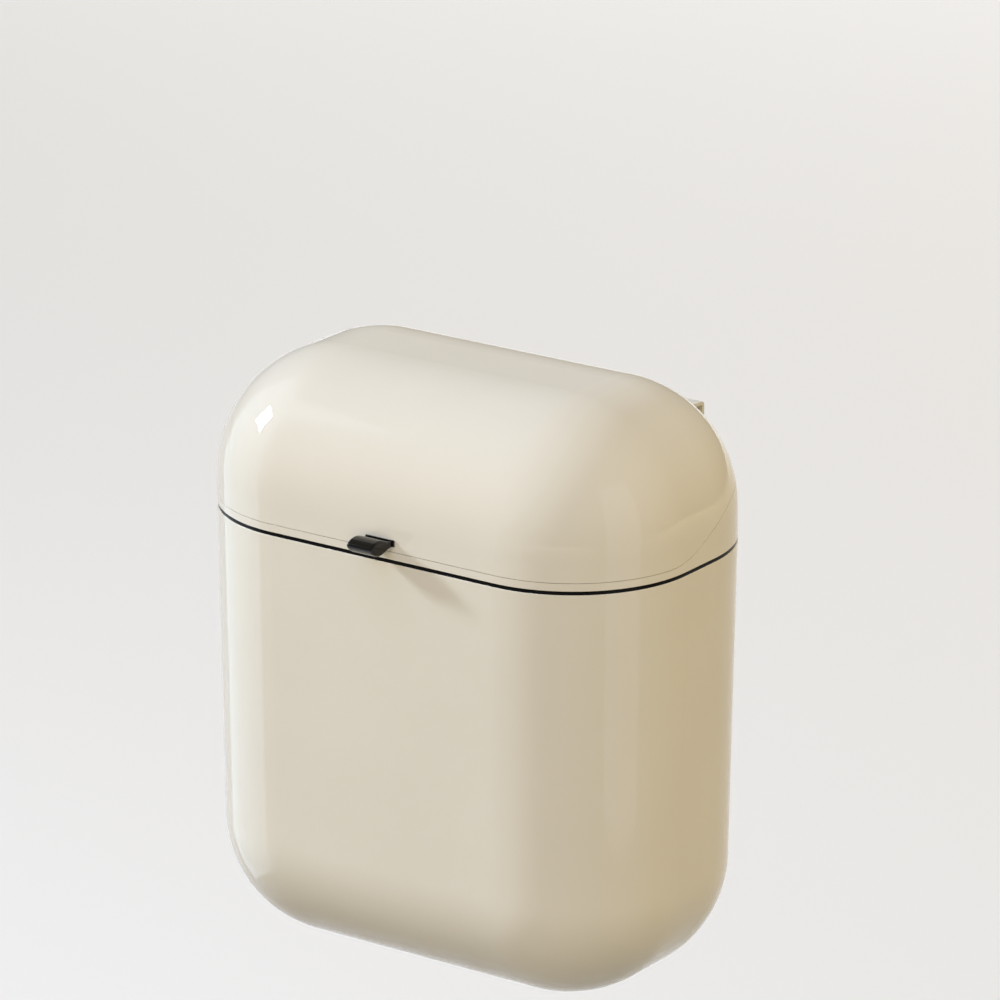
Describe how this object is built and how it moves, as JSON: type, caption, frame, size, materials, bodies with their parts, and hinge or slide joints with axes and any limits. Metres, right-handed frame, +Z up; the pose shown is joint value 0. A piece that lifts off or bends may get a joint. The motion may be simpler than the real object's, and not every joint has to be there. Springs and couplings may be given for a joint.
{
  "type": "hanging waste can",
  "caption": "Domed rounded-box kitchen waste can with a lift-out bucket, bag ring and back-hinged lid, hung over a cabinet door on a steel hook plate.",
  "frame": {"origin": "on the cabinet door's face, midway between the hook plate's two screw holes", "axes": "+X to the can's right seen from the front, +Y into the door or wall, +Z up; the can stands in front, toward -Y"},
  "size_m": [0.3, 0.2378, 0.347],
  "materials": {
    "cream_plastic": "glossy moulded",
    "black_gloss": "glossy moulded",
    "black_satin": "satin moulded",
    "grey_plastic": "matte moulded",
    "cream_steel": "powder coated",
    "zinc_steel": "zinc plated",
    "rubber": "matte"
  },
  "bodies": {
    "bracket": {"hook_plate": "cream_steel", "door_pads": "rubber"},
    "can": {"body_shell": "cream_plastic", "rim_ring": "black_gloss", "inner_bucket": "grey_plastic", "hanger_rail": "zinc_steel", "rail_screws": "zinc_steel", "hinge_post_left": "black_satin", "hinge_post_right": "black_satin", "post_screws": "zinc_steel", "wall_feet": "cream_plastic", "foot_pads": "rubber", "foot_screws": "zinc_steel", "lid_frame": "cream_plastic"},
    "bag_ring": {"bag_ring": "black_satin"},
    "lid": {"lid_shell": "cream_plastic", "hinge_pin_left": "zinc_steel", "hinge_pin_right": "zinc_steel", "pin_clips": "zinc_steel", "pull_tab": "black_satin", "tab_plate": "black_satin", "tab_screws": "zinc_steel"}
  },
  "joints": [
    {"name": "can_lift", "type": "slide", "parent": "bracket", "child": "can", "axis": [0, 0, 1], "range_m": [0, 0.022]},
    {"name": "lid_hinge", "type": "hinge", "parent": "can", "child": "lid", "pos_m": [0, -0.017, 0.0345], "axis": [-1, 0, 0], "range_deg": [0, 62]},
    {"name": "bag_ring_hinge", "type": "hinge", "parent": "can", "child": "bag_ring", "pos_m": [0, -0.024, -0.02275], "axis": [-1, 0, 0], "range_deg": [0, 15]}
  ]
}
